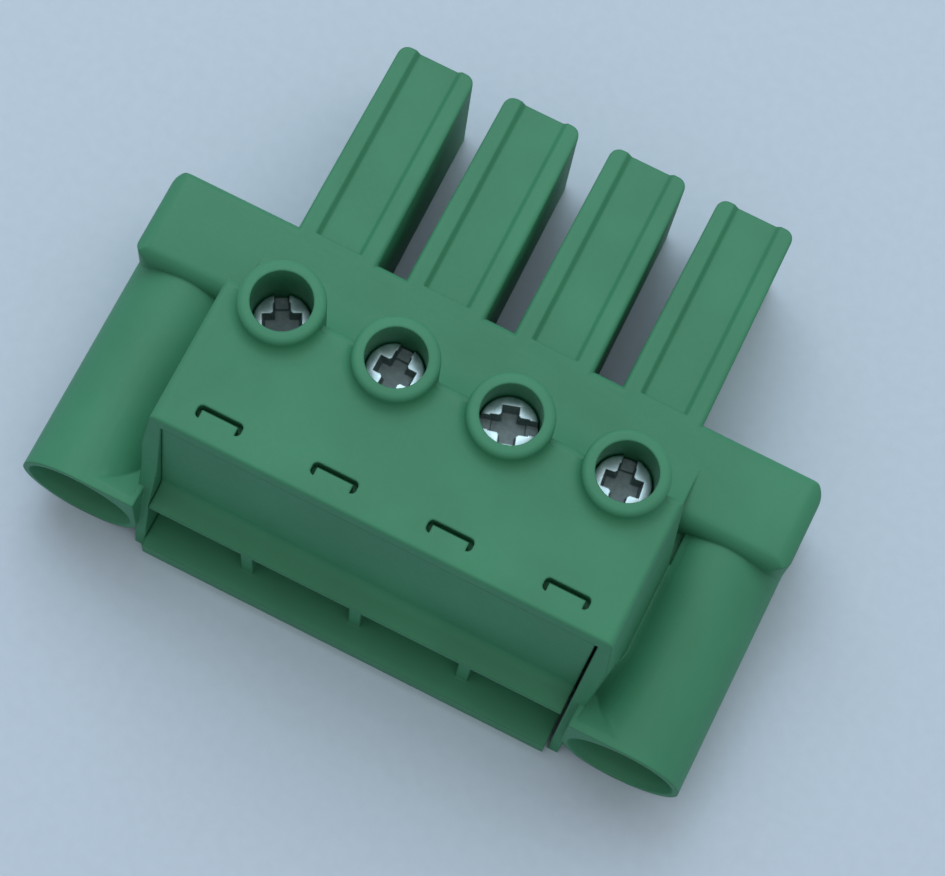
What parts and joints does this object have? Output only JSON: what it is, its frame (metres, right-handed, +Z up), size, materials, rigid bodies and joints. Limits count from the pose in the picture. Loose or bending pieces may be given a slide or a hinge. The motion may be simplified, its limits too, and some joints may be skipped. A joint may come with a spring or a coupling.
{
  "type": "pluggable terminal block",
  "caption": "Pluggable screw terminal block with wire clamps, hollow socket prongs and captive flange screws.",
  "frame": {"origin": "middle of the base under the whole block", "axes": "+X along the row of poles, +Y towards the prongs that plug in, +Z up through the clamp screws"},
  "size_m": [0.0458, 0.0358, 0.0178],
  "materials": {
    "green_nylon": "fine matt moulded nylon",
    "zinc_steel": "bright zinc plate",
    "tin_plate": "tin-plated copper alloy",
    "spring_steel": "plain spring steel"
  },
  "bodies": {
    "housing": {"housing": "green_nylon", "wire_entry": "green_nylon", "contact_1": "tin_plate", "contact_2": "tin_plate", "contact_3": "tin_plate", "contact_4": "tin_plate", "contact_spring_1": "spring_steel", "contact_spring_2": "spring_steel", "contact_spring_3": "spring_steel", "contact_spring_4": "spring_steel"},
    "clamp_plate_1": {"clamp_plate_1": "zinc_steel"},
    "clamp_screw_1": {"clamp_screw_1": "zinc_steel"},
    "clamp_plate_2": {"clamp_plate_2": "zinc_steel"},
    "clamp_screw_2": {"clamp_screw_2": "zinc_steel"},
    "clamp_plate_3": {"clamp_plate_3": "zinc_steel"},
    "clamp_screw_3": {"clamp_screw_3": "zinc_steel"},
    "clamp_plate_4": {"clamp_plate_4": "zinc_steel"},
    "clamp_screw_4": {"clamp_screw_4": "zinc_steel"},
    "flange_screw_left": {"flange_screw_left": "zinc_steel"},
    "flange_screw_right": {"flange_screw_right": "zinc_steel"}
  },
  "joints": [
    {"name": "plate_travel_1", "type": "slide", "parent": "housing", "child": "clamp_plate_1", "axis": [0, 0, -1], "range_m": [-0.002, 0.00135]},
    {"name": "screw_turn_1", "type": "hinge", "parent": "clamp_plate_1", "child": "clamp_screw_1", "pos_m": [-0.01143, -0.00411, 0.014], "axis": [0, 0, -1], "range_deg": [-1441, 973]},
    {"name": "plate_travel_2", "type": "slide", "parent": "housing", "child": "clamp_plate_2", "axis": [0, 0, -1], "range_m": [-0.0009, 0.00245]},
    {"name": "screw_turn_2", "type": "hinge", "parent": "clamp_plate_2", "child": "clamp_screw_2", "pos_m": [-0.00381, -0.00411, 0.0151], "axis": [0, 0, -1], "range_deg": [-649, 1765]},
    {"name": "plate_travel_3", "type": "slide", "parent": "housing", "child": "clamp_plate_3", "axis": [0, 0, -1], "range_m": [-0.0004, 0.00295]},
    {"name": "screw_turn_3", "type": "hinge", "parent": "clamp_plate_3", "child": "clamp_screw_3", "pos_m": [0.00381, -0.00411, 0.0156], "axis": [0, 0, -1], "range_deg": [-289, 2125]},
    {"name": "plate_travel_4", "type": "slide", "parent": "housing", "child": "clamp_plate_4", "axis": [0, 0, -1], "range_m": [-0.0009, 0.00245]},
    {"name": "screw_turn_4", "type": "hinge", "parent": "clamp_plate_4", "child": "clamp_screw_4", "pos_m": [0.01143, -0.00411, 0.0151], "axis": [0, 0, -1], "range_deg": [-649, 1765]},
    {"name": "flange_slide_left", "type": "slide", "parent": "housing", "child": "flange_screw_left", "axis": [0, 1, 0], "range_m": [0, 0.0061]},
    {"name": "flange_slide_right", "type": "slide", "parent": "housing", "child": "flange_screw_right", "axis": [0, 1, 0], "range_m": [0, 0.0061]}
  ],
  "couplings": [
    {"joint": "screw_turn_1", "follows": "plate_travel_1", "rad_per_m": 12566},
    {"joint": "screw_turn_2", "follows": "plate_travel_2", "rad_per_m": 12566},
    {"joint": "screw_turn_3", "follows": "plate_travel_3", "rad_per_m": 12566},
    {"joint": "screw_turn_4", "follows": "plate_travel_4", "rad_per_m": 12566}
  ]
}
